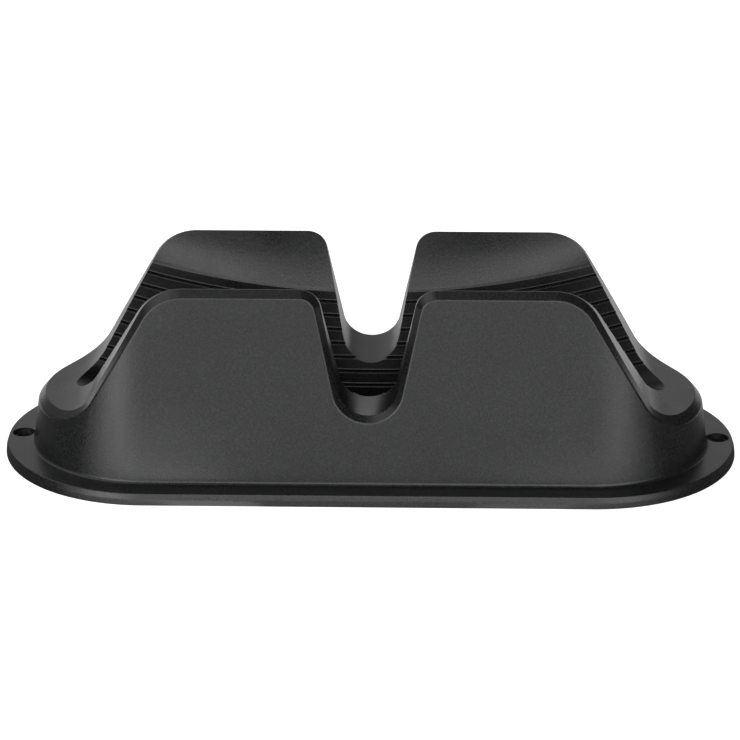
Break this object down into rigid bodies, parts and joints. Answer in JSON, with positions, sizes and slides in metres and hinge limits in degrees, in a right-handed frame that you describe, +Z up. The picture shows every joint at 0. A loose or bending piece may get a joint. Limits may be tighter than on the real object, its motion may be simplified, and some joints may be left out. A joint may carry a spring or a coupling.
{
  "type": "bike wheel chock",
  "caption": "Floor chock for a bicycle wheel: one moulded shell with a ribbed long channel, a cross notch for a wider tyre, a wide foot flange and rubber pads under it.",
  "frame": {"origin": "on the ground under the middle of the chock", "axes": "+Z up, +X along the wheel channel, -Y towards the side that the picture shows"},
  "size_m": [0.41, 0.168, 0.1113],
  "materials": {
    "black_plastic": "fine-grained black moulding",
    "pad_rubber": "matte black rubber"
  },
  "bodies": {
    "root": {"chock_shell": "black_plastic", "side_pad_front_left": "pad_rubber", "side_pad_front_right": "pad_rubber", "side_pad_back_left": "pad_rubber", "side_pad_back_right": "pad_rubber", "end_pad_front_left": "pad_rubber", "end_pad_front_right": "pad_rubber", "end_pad_back_left": "pad_rubber", "end_pad_back_right": "pad_rubber"}
  },
  "joints": []
}
